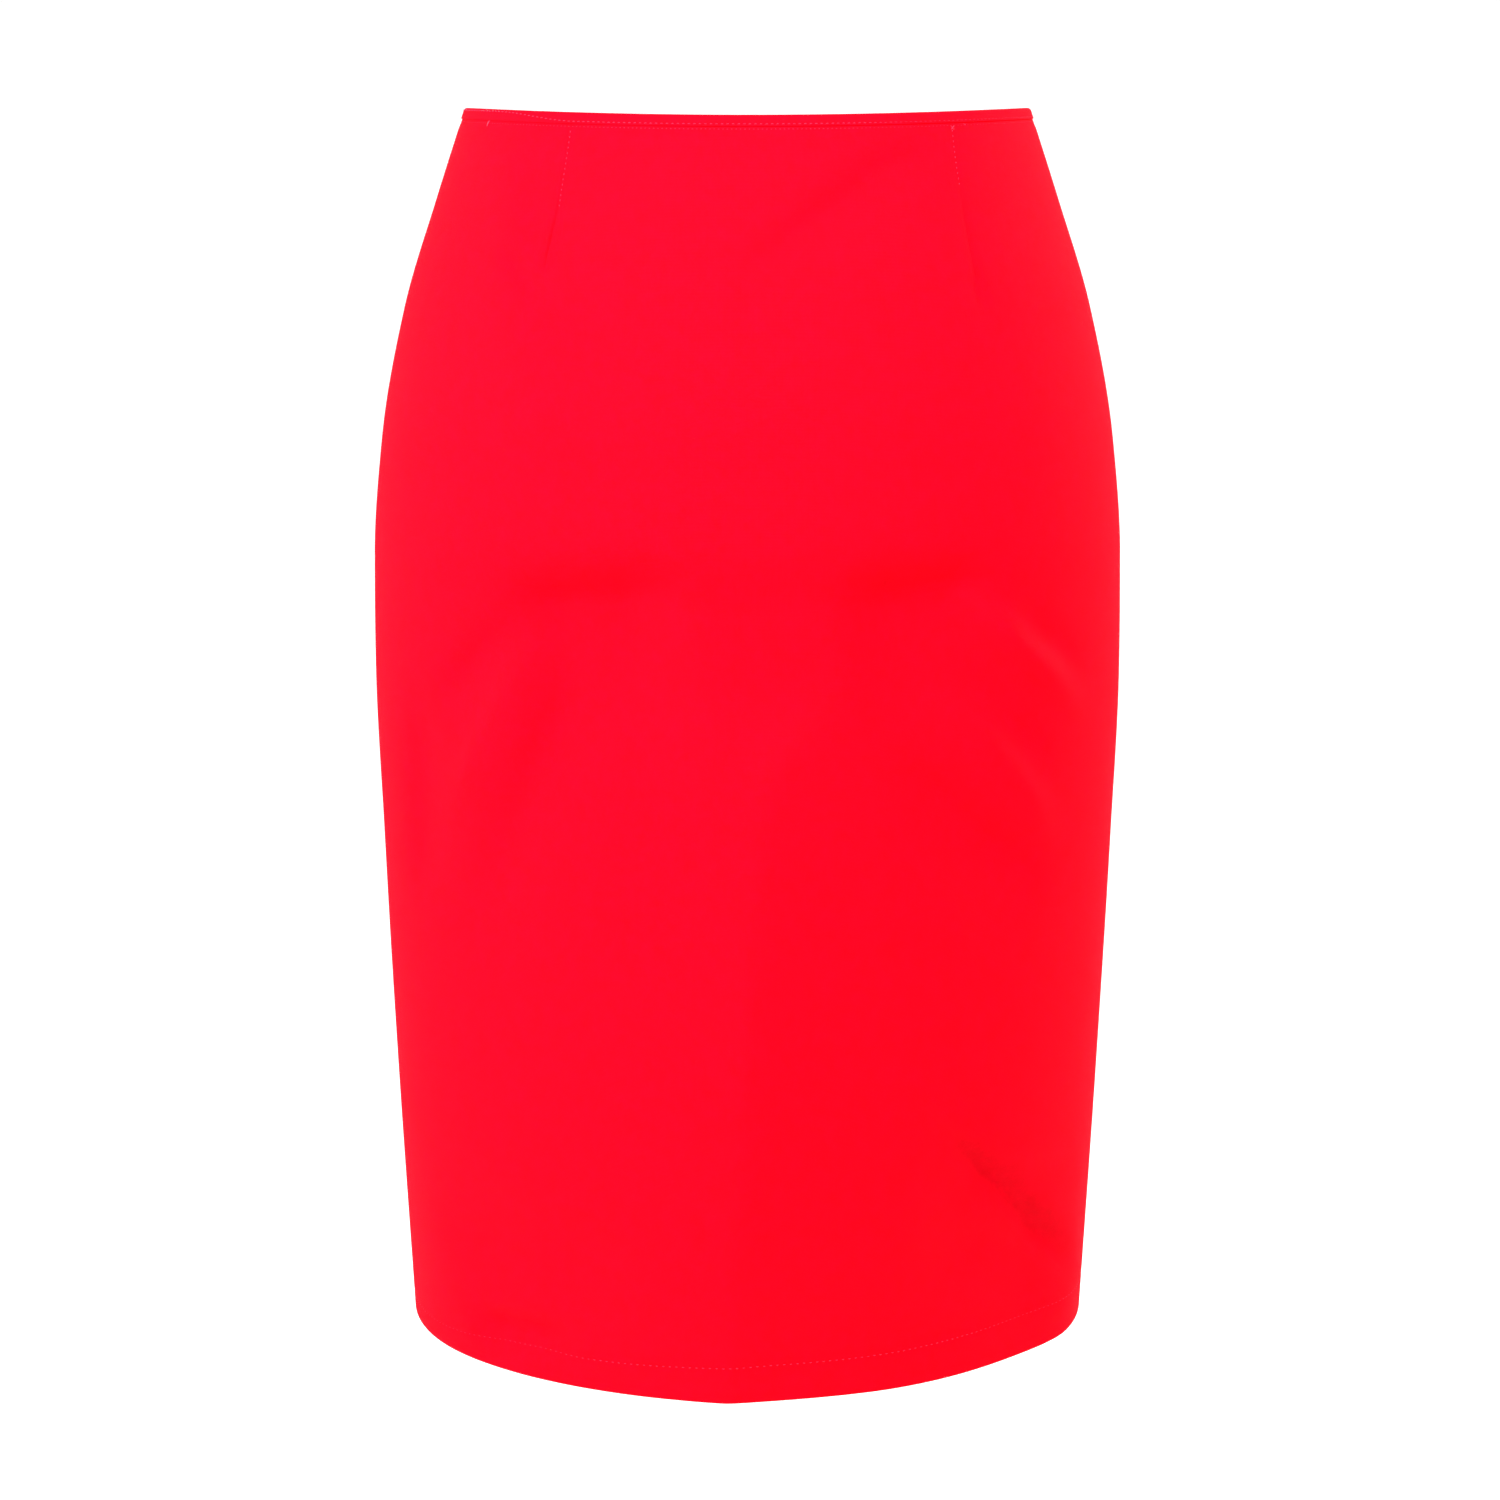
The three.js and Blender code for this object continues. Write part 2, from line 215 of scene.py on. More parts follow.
# The large folds, which the model's solids have too. A negative depth is a low ridge.
FOLDS = np.array(
    [
        (BACK, -108, 216, -32, 209, 11, 70, 8.8),
        (BACK, 45, 214, 112, 206, 11.5, 56, 7.8),
        (BACK, -188, 217, 190, 216, 15, 76, 3.2),
        (BACK, -141, 314, -93, 228, 10, 20, -4.4),
        (BACK, -127, 362, -76, 246, 11, 18, 2.8),
        (BACK, 100, 214, 166, 268, 9, 9, -3.6),
        (BACK, 100, 242, 142, 288, 7, 12, 3.6),
        (BACK, 95, 256, 148, 322, 8, 9, -3.2),
        (BACK, 72, 284, 138, 346, 9, 20, 4.6),
        (BACK, 88, 456, 184, 545, 8, 46, 4.4),
        (BACK, 88, 498, 168, 574, 16, 50, 3.7),
        (BACK, -1, 70, 86, 7, 9, 18, 3.2),
        (BACK, -117, 8, -91, 162, 12, 20, -1.7),
        (FRONT, -150, 197, -44, 214, 14, 50, 1.9),
        (FRONT, 38, 216, 144, 201, 14, 46, 1.7),
        (FRONT, -132, 322, -62, 238, 11, 15, 1.6),
        (FRONT, 66, 242, 136, 334, 12, 16, 1.7),
        (FRONT, -176, 534, -104, 472, 9, 32, 1.6),
        (FRONT, -66, 10, -6, 58, 9, 15, 1.2),
        (FRONT, 0, 250, 0, 560, 34, 36, 3),
    ],
    dtype=FOLD_TABLE,
)
# Smaller ones, which only show here.
SMALL_FOLDS = np.array(
    [
        (BACK, -148, 262, -108, 222, 8, 10, 3.2),
        (BACK, 129, 220, 166, 250, 7, 9, 1.4),
        (BACK, 83, 337, 104, 374, 8, 6, -1.2),
        (BACK, -167, 356, -163, 262, 10, 16, 3.0),
        (BACK, -150, 521, -54, 512, 12, 40, 2.6),
        (BACK, -138, 559, -84, 556, 7, 12, 5),
        (BACK, -111, 62, -94, 79, 4, 5, 2.2),
        (BACK, 60, 559, 132, 555, 4, 5, 0.5),
        (BACK, -150, 188, 150, 186, 28, 14, -1.6),
        (BACK, -114, 212, -28, 205, 18, 34, 2.4),
        (BACK, 40, 209, 116, 200, 18, 34, 2.4),
        (BACK, 90, 204, 152, 256, 8, 8, -1.6),
        (BACK, 76, 287, 134, 344, 7, 9, 1.8),
        (BACK, 88, 455, 184, 547, 5, 6, 3),
        (BACK, 82, 484, 178, 500, 14, 60, 2.4),
        (BACK, 84, 518, 178, 532, 14, 60, 2.4),
        (BACK, -158, 498, -56, 506, 14, 60, 2),
        (FRONT, -158, 252, -118, 224, 7, 10, 1.0),
        (FRONT, 112, 226, 150, 262, 7, 9, 0.9),
        (FRONT, -110, 262, -84, 300, 8, 8, -0.9),
        (FRONT, 92, 556, 124, 559, 8, 11, 1.1),
        (FRONT, 96, 76, 114, 50, 6, 6, 0.8),
    ],
    dtype=FOLD_TABLE,
)
# The ridge between the legs: how far round its crest is, its height, and its reach to both sides.
RIDGE_COLUMNS = ("below", "crest", "height", "left", "right")
RIDGE = np.array(
    [
        (205, 50, 0.2, 42, 40),
        (250, 40, 4, 58, 50),
        (300, 8, 9, 48, 60),
        (420, 0, 13, 60, 50),
        (LENGTH, -9, 9, 62, 44),
    ],
    dtype=[(name, float) for name in RIDGE_COLUMNS],
)
RIDGE_ROUNDING = 4  # how round its crest is
RIDGE_FADE = 30  # it grows to its first height over this distance
FOLDS_START, FOLDS_FULL = 5.3, 24  # the folds grow to full depth between these, below the waist
EVERY_FOLD = np.concatenate([FOLDS, SMALL_FOLDS])


def fold_heights(face, around, below):
    """The sum of the face's troughs at each point.

    A trough is -depth * exp(-(across / width)^2), where across is the distance from its line and
    the width is upper above the line and lower under it. So a trough with a long lower side is a
    ledge: the cloth turns in and stays in. At each end it fades from a third of its length inside
    to a sixth outside.
    """
    total = np.zeros(np.broadcast(around, below).shape)
    for fold in EVERY_FOLD[EVERY_FOLD["face"] == face]:
        run, drop = fold["round1"] - fold["round0"], fold["below1"] - fold["below0"]
        long = math.hypot(run, drop)
        from_round, from_below = around - fold["round0"], below - fold["below0"]
        along = (from_round * run + from_below * drop) / long
        across = (from_round * drop - from_below * run) / long
        width = np.where(across > 0, fold["upper"], fold["lower"])
        fade = long / 3
        ends = ease(along, -fade / 2, fade) * (1 - ease(along, long - fade, long + fade / 2))
        total -= fold["depth"] * np.exp(-((across / width) ** 2)) * ends
    return total


def ridge_height(around, below):
    """A tent with a rounded top: height * exp(-across / reach), where each side has its reach.

    across is the hypotenuse of the way from the crest and the rounding, less the rounding.
    """
    crest, height, left, right = (
        smooth_curve(below, name, RIDGE) for name in ("crest", "height", "left", "right")
    )
    aside = around - crest
    across = np.hypot(aside, RIDGE_ROUNDING) - RIDGE_ROUNDING
    on = ease(below, RIDGE["below"][0] - RIDGE_FADE, RIDGE["below"][0])
    return height * on * np.exp(-across / np.where(aside < 0, left, right))


def relief(face, around, below):
    """All the folds of one face, faded in under the binding that holds the edge smooth."""
    total = fold_heights(face, around, below)
    if face == BACK:
        total = total + ridge_height(around, below)
    return total * ease(below, FOLDS_START, FOLDS_FULL)


print(len(EVERY_FOLD), "folds; the deepest is", EVERY_FOLD["depth"].max(), "mm")

# %% [markdown]
# ## Darts
#
# A dart is a wedge of cloth sewn away inside, so that a flat piece can round over the seat. Outside
# only its seam shows: a crisp groove from the waist down to a point, with a small pucker where it
# ends. No two are sewn alike: one is a soft roll, another a thin line with a dimple at its point.
# The grid's columns follow each dart's line, so the groove stays sharp without a fine grid
# everywhere.

# %% Table of darts
# A dart's line from the waist edge to its point and how it bends, its groove in depth and in reach
# to the left and the right, the depth of its pucker, and the share of its length that shows
# stitches.
DART_COLUMNS = ("face", "top", "end", "ends", "bend", "groove", "lip", "slope", "pucker", "sewn")
DARTS = np.array(
    [
        (BACK, -79.5, -91, 68, 1.35, 2.6, 0.8, 4.0, 0.6, 0.6),
        (BACK, 94.2, 105.8, 79, 1.4, 1.4, 0.7, 1.6, 1.6, 0.4),
        (FRONT, -84, -92, 62, 1.3, 1.1, 0.8, 3.0, 0.8, 0.5),
        (FRONT, 84, 92, 62, 1.3, 1.0, 0.7, 2.5, 0.9, 0.4),
    ],
    dtype=[(name, float) for name in DART_COLUMNS],
)
PUCKER_SIZE = 3.2
GROOVE_AT_WAIST = 0.25  # the share of its depth that a dart's groove has at the waist
GROOVE_DEEPENS, GROOVE_CLOSES = (0.4, 0.8), (0.9, 1.04)  # from and to these shares of its length
SEAM_GROOVE, SEAM_LIP = 0.45, 1.3


def dart_line(dart, below):
    """Where a dart's line crosses each height: top + (end - top) * share^bend down to its point.

    Past the point the line keeps its share of the way to the side seam.
    """
    share = np.minimum(1, below / dart["ends"]) ** dart["bend"]
    past = reach(dart["face"], np.maximum(below, dart["ends"])) / reach(dart["face"], dart["ends"])
    return (dart["top"] + (dart["end"] - dart["top"]) * share) * past


def darts_of(face):
    """The left and the right dart of one face."""
    return DARTS[DARTS["face"] == face]


def sewn_grooves(face, around, below):
    """Grooves along the darts and side seams, as depth * exp(-|distance| / lip).

    The cloth rolls down into a dart quickly on its left and rises slowly on its right, because the
    wedge inside is pressed to one side. The groove is shallow at the waist, deepest in its lower
    half, and a round pucker sits on its point.
    """
    depth = np.zeros(np.broadcast(around, below).shape)
    for dart in darts_of(face):
        aside = around - dart_line(dart, below[:, 0])[:, None]
        share = below / dart["ends"]
        deep = GROOVE_AT_WAIST + (1 - GROOVE_AT_WAIST) * ease(share, *GROOVE_DEEPENS)
        deep = deep * (1 - ease(share, *GROOVE_CLOSES))
        lip = np.where(aside < 0, dart["lip"], dart["slope"])
        depth += dart["groove"] * deep * np.exp(-np.abs(aside) / lip)
        under = np.hypot(aside, (below - dart["ends"]) / 2)
        depth += dart["pucker"] * np.exp(-((under / PUCKER_SIZE) ** 2))
    from_seam = reach(face, below[:, 0])[:, None] - np.abs(around)
    return depth + SEAM_GROOVE * np.exp(-from_seam / SEAM_LIP)


for dart in DARTS:
    print("a dart ends", dart["ends"], "mm below the waist")

# %% [markdown]
# ## Panels of cloth
#
# The back and the front are each one piece of cloth. A flat sheet with a Solidify modifier would
# give the wall, but the hem is turned up inside, and that fold shows from below. So each panel is a
# path carried round the form instead: down the outside, round the fold of the hem, up to the raw
# edge of the turned part, and up the inside to the waist.

# %% The path of a panel's wall
BINDING_HEIGHT, BINDING_LAYER, BINDING_PROUD, BINDING_GAP = 5.0, 0.5, 0.3, 0.15
PANEL_TOP = 1.3  # the panels' raw top edge is this far under the top of the binding
UNDER_BINDING = BINDING_HEIGHT + BINDING_GAP
TUCK = BINDING_LAYER - BINDING_PROUD + BINDING_GAP  # how far the binding presses the panel in
TUCK_FADE = 5.0  # the panel is back on the form this far under the binding
FINE_FROM, FINE_TO = 90, 250  # the finest rows lie between these, over the seat's folds
HEM_STITCHES_UP = 14.0  # the middle of the band above the edge that the stitching wanders in
HEM_GROOVE, HEM_GROOVE_WIDTH, HEM_BAND = 0.15, 1.2, 6.0
LIPS = (3.5, 2.0, 1.1, 0.5)  # the finer columns' distances from a dart or a side seam
SIDE_STEPS, MIDDLE_STEPS = 58, 76  # even steps outside the darts and between them


def stretches(*spans):
    """Values from one named place to the next. A span is (start, end, steps), and they join up."""
    parts = [np.linspace(start, end, steps, endpoint=False) for start, end, steps in spans]
    return np.concatenate([*parts, [spans[-1][1]]])


def panel_path():
    """The wall's path as below and raised: the outside, a half circle at the fold, and back up."""
    stitched = LENGTH - HEM_STITCHES_UP
    fold_top = LENGTH - CLOTH
    raw_edge = LENGTH - HEM_TURN
    outside = stretches(
        (PANEL_TOP, UNDER_BINDING, 2),
        (UNDER_BINDING, UNDER_BINDING + TUCK_FADE, 4),
        (UNDER_BINDING + TUCK_FADE, FINE_FROM, 41),
        (FINE_FROM, FINE_TO, 68),
        (FINE_TO, stitched - HEM_BAND, 92),
        (stitched - HEM_BAND, stitched + HEM_BAND, 13),
        (stitched + HEM_BAND, fold_top, 4),
    )
    turned = stretches((fold_top, raw_edge, 5))
    inside = stretches(
        (raw_edge - CLOTH / 2, FINE_TO, 34),
        (FINE_TO, FINE_FROM, 26),
        (FINE_FROM, UNDER_BINDING + CLOTH, 16),
        (UNDER_BINDING + CLOTH, PANEL_TOP, 4),
    )
    turn = np.linspace(0, np.pi, 9)[1:-1]
    below = [outside, fold_top + CLOTH * np.sin(turn), turned, inside]
    raised = [
        np.zeros(len(outside)),
        CLOTH * (np.cos(turn) - 1),
        np.full(len(turned), -2 * CLOTH),
        np.full(len(inside), -CLOTH),
    ]
    return np.concatenate(below), np.concatenate(raised)


def tucked_in(below):
    """How far a panel is pressed in: TUCK under the binding, and less and less below it."""
    return TUCK * (1 - ease(below, UNDER_BINDING, UNDER_BINDING + TUCK_FADE))


def panel_columns(face, below):
    """Distances round for each row: even steps, with finer ones beside each dart and side seam."""
    edge = reach(face, below)
    left, right = (dart_line(dart, below) for dart in darts_of(face))
    columns = [-edge, *(-edge + lip for lip in reversed(LIPS))]
    for line, steps in ((left, SIDE_STEPS), (right, MIDDLE_STEPS), (edge, SIDE_STEPS)):
        start, end = columns[-1], line - LIPS[0]
        columns += [start + (end - start) * i / steps for i in range(1, steps)]
        columns += [line - lip for lip in LIPS] + [line]
        if line is not edge:
            columns += [line + lip for lip in reversed(LIPS)]
    return np.stack(columns, axis=1)


path_below, path_raised = panel_path()
path_steps = np.hypot(np.diff(path_below), np.diff(path_raised))
path_length = PANEL_TOP + np.concatenate([[0], np.cumsum(path_steps)])
print("a panel's wall is", len(path_below), "rows round and", round(path_length[-1]), "mm long")

# %% [markdown]
# ## From grids to meshes
#
# A grid of points becomes quads by pairing each point with its neighbours, all at once, as arrays.
# Every cloth piece also gets a map of its own, in metres along and down the cloth, so that the knit
# follows the piece as it curves. The map isn't joined where a grid closes on itself, so it takes
# one more row or column there than the grid has.


# %% Mesh helpers
def quads_of(index):
    """The quads between neighbours of a grid of indices, in the order down, right, up."""
    corners = [index[:-1, :-1], index[1:, :-1], index[1:, 1:], index[:-1, 1:]]
    return np.stack(corners, axis=-1).reshape(-1, 4)


def new_piece(name, points, faces, measures=None):
    """A smooth mesh from points in mm, with a map in metres, one pair for each corner of a face."""
    mesh = bpy.data.meshes.new(name)
    mesh.from_pydata((points.reshape(-1, 3) * MM).tolist(), [], faces)
    if measures is not None:
        layer = mesh.uv_layers.new(name="cloth")
        layer.data.foreach_set("uv", (measures * MM).ravel())
    mesh.polygons.foreach_set("use_smooth", np.ones(len(mesh.polygons), bool))
    mesh.update()
    piece = bpy.data.objects.new(name, mesh)
    bpy.context.scene.collection.objects.link(piece)
    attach(piece, "root")
    triangles = sum(len(face) - 2 for face in faces)
    print(f"{name}: {triangles} triangles")
    return piece


def grid_piece(name, points, measures, end_caps=()):
    """A grid whose last row joins its first, as its columns do if the map has one more of them.

    end_caps are triangles between rows, which close the first column and the last one.
    """
    rows, columns = points.shape[:2]
    index = np.arange(rows * columns).reshape(rows, columns)
    wrapped = np.concatenate([index, index[:1]])
    if measures.shape[1] > columns:
        wrapped = np.concatenate([wrapped, wrapped[:, :1]], axis=1)
    map_index = np.arange(measures.shape[0] * measures.shape[1]).reshape(measures.shape[:2])
    corners = measures.reshape(-1, 2)[quads_of(map_index).ravel()]
    caps = np.array(end_caps, int).reshape(-1, 3)
    first, last = index[caps, 0], index[caps[:, ::-1], -1]
    flat = measures[:, 0][caps.ravel()], measures[:, -1][caps[:, ::-1].ravel()]
    faces = quads_of(wrapped).tolist() + first.tolist() + last.tolist()
    return new_piece(name, points, faces, np.concatenate([corners, *flat]))


# %% [markdown]
# The two side edges of a panel's wall are long thin slits, closed by cutting the path's own outline
# into triangles, in the curve that the side seam has, so that no triangle can span the curve. The
# same triangles serve both edges, turned over at the second.

# %% Make the two panels
from mathutils import Vector
from mathutils.geometry import tessellate_polygon

seam_curve = smooth_curve(path_below, "half") + path_raised
outline = np.stack([path_below, seam_curve], axis=1)
edge_caps = np.array(tessellate_polygon([[Vector((*corner, 0)) for corner in outline]]))
first_side = outline[edge_caps[:, 1]] - outline[edge_caps[:, 0]]
last_side = outline[edge_caps[:, 2]] - outline[edge_caps[:, 0]]
doubled_areas = first_side[:, 0] * last_side[:, 1] - last_side[:, 0] * first_side[:, 1]
if doubled_areas.sum() < 0:
    edge_caps = edge_caps[:, ::-1]
print(len(edge_caps), "triangles close each side edge")

LEFT, RIGHT = -1, 1
HEM_ROW_UP = 18.2  # the hem's stitching above the edge, at the right
HEM_ROW_DROPS = [(3.4, LEFT, -15, 90), (5.0, LEFT, 90, 190)]
GROOVES_START, GROOVES_FULL = 5, 9  # the sewn grooves grow between these, below the waist


def eased_steps(around, steps):
    """The sum of size * ease(distance, near, far), each counted towards the left or the right."""
    return sum(size * ease(way * around, near, far) for size, way, near, far in steps)


def hem_row(around):
    """The height of the hem's stitching: it nears the edge in two steps, towards the left."""
    return LENGTH - HEM_ROW_UP + eased_steps(around, HEM_ROW_DROPS)


def surface_raised(face, around, below):
    """How far the cloth's outside stands from the form: folds, less the sewn grooves."""
    cut = sewn_grooves(face, around, below) * ease(below, GROOVES_START, GROOVES_FULL)
    hem = HEM_GROOVE * np.exp(-(((below - hem_row(around)) / HEM_GROOVE_WIDTH) ** 2))
    return relief(face, around, below) - cut - hem


def panel(face, name):
    """One panel: the path of its wall, carried round its face, with folds, grooves and tuck."""
    around = panel_columns(face, path_below)
    below = path_below[:, None]
    is_outside = path_raised[:, None] > -CLOTH / 2
    shape = np.where(is_outside, surface_raised(face, around, below), relief(face, around, below))
    raised = shape + path_raised[:, None] - tucked_in(below)
    if face == FRONT:
        around, raised = around[:, ::-1], raised[:, ::-1]
    points = cloth_point(face, around, path_below, raised)
    down = np.broadcast_to(-path_length[:, None], around.shape)
    measures = np.stack([around, down], axis=-1)
    top = measures[:1] + [0, -path_length[-1] + PANEL_TOP - CLOTH]
    return grid_piece(name, points, np.concatenate([measures, top]), edge_caps)


back_cloth = panel(BACK, "back_cloth")
front_cloth = panel(FRONT, "front_cloth")
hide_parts("back_panel")
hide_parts("front_panel")

# %% [markdown]
# ## The waist binding
#
# One narrow strip of the same knit is folded over the raw top edge and stitched through all
# layers. Its section is a channel that opens downwards. The section is carried right round the
# waist, along the back and then the front, so its ends meet at the left side seam.

# %% Carry the binding's section round the waist
# The rows of its lower edges, which roll in: how far up each is, and how far in.
ROLL_UP, ROLL_IN = np.array([0, 0.1, 0.4, 1.6]), np.array([0.35, 0.12, 0, 0])
WAIST_STEPS = 240  # along the back, and again along the front


def binding_section():
    """The channel as raised and below: a half round top over two legs, outside and inside."""
    outer, inner = BINDING_PROUD, BINDING_PROUD - 2 * BINDING_LAYER - 2 * BINDING_GAP - CLOTH
    half = (outer - inner) / 2
    turn = np.linspace(0, np.pi, 13)
    crown = [half * np.cos(turn) - half + outer, PANEL_TOP - PANEL_TOP * np.sin(turn)]
    slot = half - BINDING_LAYER
    hollow = [
        slot * np.cos(turn[::-1]) - half + outer,
        PANEL_TOP - BINDING_GAP * np.sin(turn[::-1]),
    ]
    legs = BINDING_HEIGHT - ROLL_UP
    outside = [outer - ROLL_IN, legs]
    inside = [inner + ROLL_IN[::-1], legs[::-1]]
    up_inside = [np.array([inner + BINDING_LAYER]), np.array([BINDING_HEIGHT])]
    down_outside = [np.array([outer - BINDING_LAYER]), np.array([BINDING_HEIGHT])]
    parts = [outside, crown, inside, up_inside, hollow, down_outside]
    return (np.concatenate(part)[::-1] for part in zip(*parts))


section_raised, section_below = binding_section()
sides = {}
for face, name in ((BACK, "back"), (FRONT, "front")):
    edge = reach(face, section_below)[:, None]
    around = edge * np.linspace(-1, 1, WAIST_STEPS + 1)[None, :]
    raised = np.broadcast_to(section_raised[:, None], around.shape)
    sides[name] = cloth_point(face, around, section_below, raised), around
front_points, front_around = (grid[:, ::-1] for grid in sides["front"])
back_points, back_around = sides["back"]
ring = np.concatenate([back_points[:, :-1], front_points[:, :-1]], axis=1)
half_way = back_around[:, -1:] + front_around[:, :1]
section_steps = np.hypot(np.diff(section_raised), np.diff(section_below))
section_length = -np.concatenate([[0], np.cumsum(section_steps)])[:, None]
strip_around = np.concatenate([back_around[:, :-1], half_way - front_around], axis=1)
strip = np.stack(np.broadcast_arrays(strip_around, section_length), axis=-1)
strip = np.concatenate([strip, strip[:1] + [0, section_length[-1, 0] - CLOTH]])
waist_strip = grid_piece("waist_strip", ring, strip)
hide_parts("waist_binding")

# %% [markdown]
# ## Stitches
#
# A stitch is a short length of thread that comes up out of the cloth, lies over it and goes back
# down. There are hundreds of them, so each has only a few faces, and a whole row is one mesh made
# at once: the places come first, then the same bent tube is put at every place. Where the thread
# sinks into soft cloth, less of it shows, so its tube is thinner there.

# %% Stitch helpers
STITCH_STATIONS, STITCH_SIDES = 5, 6  # rings of points along a stitch, and points in a ring
FRAME_STEP = 0.3  # how far to each side the points are that give the surface its directions


def outside_raised(face, around, below):
    """How far the visible outside stands from the form, on the binding or on a panel under it."""
    on_panel = surface_raised(face, around, below) - tucked_in(below)
    return np.where(below <= BINDING_HEIGHT, BINDING_PROUD, on_panel)


def surface_frame(face, around, below):
    """Places on the outside, with unit directions round, down and out, from small steps."""

    def place(more_round, more_below):
        """The outside's points a little further round or down."""
        a, b = (around + more_round)[:, None], below + more_below
        return cloth_point(face, a, b, outside_raised(face, a, b[:, None]))[:, 0]

    def unit(vectors):
        """Each vector divided by its length."""
        return vectors / np.linalg.norm(vectors, axis=1, keepdims=True)

    level = outside_raised(face, around[:, None], below[:, None])
    here = cloth_point(face, around[:, None], below, level)[:, 0]
    way_round = unit(place(FRAME_STEP, 0) - place(-FRAME_STEP, 0))
    way_down = unit(place(0, FRAME_STEP) - place(0, -FRAME_STEP))
    return here, way_round, way_down, unit(np.cross(way_down, way_round)) * -face


def stitches(name, rows):
    """Rows of stitches in one mesh. A row is (face, around, below, length, thread, turned).

    Along a stitch t goes from -1 to 1. Its middle stands thread * (0.45 - 0.9 t^2) above the cloth
    and its radius is half the thread times sqrt(1 - 0.75 t^2). turned is its angle in degrees from
    the way round towards the way down. thread, the thickness, and turned are one value for the row
    or one for each stitch.
    """
    t = np.linspace(-1, 1, STITCH_STATIONS)[None, :, None, None]
    lap = np.linspace(0, 2 * np.pi, STITCH_SIDES + 1)[:-1][None, None, :, None]
    parts = []
    for face, around, below, length, thread, turned in rows:
        around, below, turned, thread = np.broadcast_arrays(
            around, below, np.radians(turned), thread
        )
        thread = thread[:, None, None, None]
        here, way_round, way_down, out = surface_frame(face, around, np.asarray(below, float))
        turned = turned[:, None]
        along = np.cos(turned) * way_round + np.sin(turned) * way_down
        aside = np.cross(out, along)
        here, along, aside, out = (v[:, None, None, :] for v in (here, along, aside, out))
        middle = here + along * t * length / 2 + out * thread * (0.45 - 0.9 * t**2)
        radius = thread / 2 * np.sqrt(1 - 0.75 * t**2)
        parts.append(middle + radius * (np.cos(lap) * aside + np.sin(lap) * out))
    points = np.concatenate(parts)
    count, stations, sides = points.shape[:3]
    index = np.arange(stations * sides).reshape(stations, sides)
    tube = quads_of(np.concatenate([index, index[:, :1]], axis=1))[:, ::-1]
    ends = np.stack([index[0, ::-1], index[-1]])
    shift = np.arange(count)[:, None, None] * stations * sides
    faces = (tube + shift).reshape(-1, 4).tolist() + (ends + shift).reshape(-1, sides).tolist()
    return new_piece(name, points, faces)


# %% [markdown]
# The binding is topstitched just above its lower edge, and a second, finer row runs just under it,
# where the needle catches the panel. The hem's stitching goes round well above the edge. The darts
# show theirs only near the waist, where the seam is pulled open.

# %% Sew the rows
HEM_PITCH, HEM_LENGTH, HEM_THREAD = 3.0, 1.3, 0.42
TOP_PITCH, TOP_LENGTH, TOP_THREAD = 2.4, 1.4, 0.45
UNDER_PITCH, UNDER_LENGTH, UNDER_THREAD = 1.9, 0.8, 0.32
DART_PITCH, DART_LENGTH, DART_THREAD = 2.3, 1.1, 0.42
TOP_ROW, TOP_ROW_RISES, UNDER_ROW = 4.0, [(3.0, LEFT, 78, 120)], 6.2
DARTS_FROM, STRAIGHT_DOWN = 8.5, 90
ROW_MARGIN = 2.0  # a row stops this far from the side seam
# Where each row's thread sinks into the cloth: the share of its thickness, the side, from and to.
HEM_SINKS = [(0.5, LEFT, 60, 100), (0.3, RIGHT, 90, 140)]
TOP_SINKS = [(0.55, RIGHT, 45, 75)]
UNDER_SINKS = [(0.5, LEFT, 50, 80), (0.5, RIGHT, 30, 60)]


def top_row(around):
    """The topstitching's height: near the strip's lower edge, but it starts higher at one end."""
    return TOP_ROW - eased_steps(around, TOP_ROW_RISES)


def under_row(around):
    """The second row's height, level all round."""
    return np.full(len(around), UNDER_ROW)


def round_rows(height_of, sinks, pitch, length, thread):
    """A row of stitches round the back and the front, at the heights and sinking as given."""
    rows = []
    for face in (BACK, FRONT):
        edge = reach(face, height_of(np.zeros(1)))[0] - ROW_MARGIN
        around = np.linspace(-edge, edge, int(2 * edge / pitch) + 1)
        shows = thread * (1 - eased_steps(around, sinks))
        rows.append((face, around, height_of(around), length, shows, 0))
    return rows


hem_stitches = stitches(
    "hem_stitches", round_rows(hem_row, HEM_SINKS, HEM_PITCH, HEM_LENGTH, HEM_THREAD)
)
binding_stitches = stitches(
    "binding_stitches",
    round_rows(top_row, TOP_SINKS, TOP_PITCH, TOP_LENGTH, TOP_THREAD)
    + round_rows(under_row, UNDER_SINKS, UNDER_PITCH, UNDER_LENGTH, UNDER_THREAD),
)
dart_rows = []
for dart in DARTS:
    below = np.arange(DARTS_FROM, dart["sewn"] * dart["ends"], DART_PITCH)
    line = dart_line(dart, below)
    dart_rows.append((dart["face"], line, below, DART_LENGTH, DART_THREAD, STRAIGHT_DOWN))
dart_stitches = stitches("dart_stitches", dart_rows)

# %% [markdown]
# Small marks show in the photo: a short slanting tack by the left end of the waist, a cross at the
# top of the right dart, where the maker fastened off the thread, and a loose end beside it.

# %% Thread marks
TACK_ROUND = -129.6 + np.linspace(-0.14, 0.14, 5)  # five turns of thread, side by side
TACK_BELOW = 6.0 + np.linspace(-0.2, 0.2, 5)
CROSS_ROUND, CROSS_BELOW, CROSS_TURNED = np.full(2, 94.9), 7.2, np.array([50, 130])
LOOSE_END_ROUND, LOOSE_END_BELOW = np.full(1, 101.8), 6.0
thread_marks = stitches(
    "thread_marks",
    [
        (BACK, TACK_ROUND, TACK_BELOW, 5.2, 0.45, 122),
        (BACK, CROSS_ROUND, CROSS_BELOW, 3.0, 0.42, CROSS_TURNED),
        (BACK, LOOSE_END_ROUND, LOOSE_END_BELOW, 1.8, 0.4, 20),
    ],
)
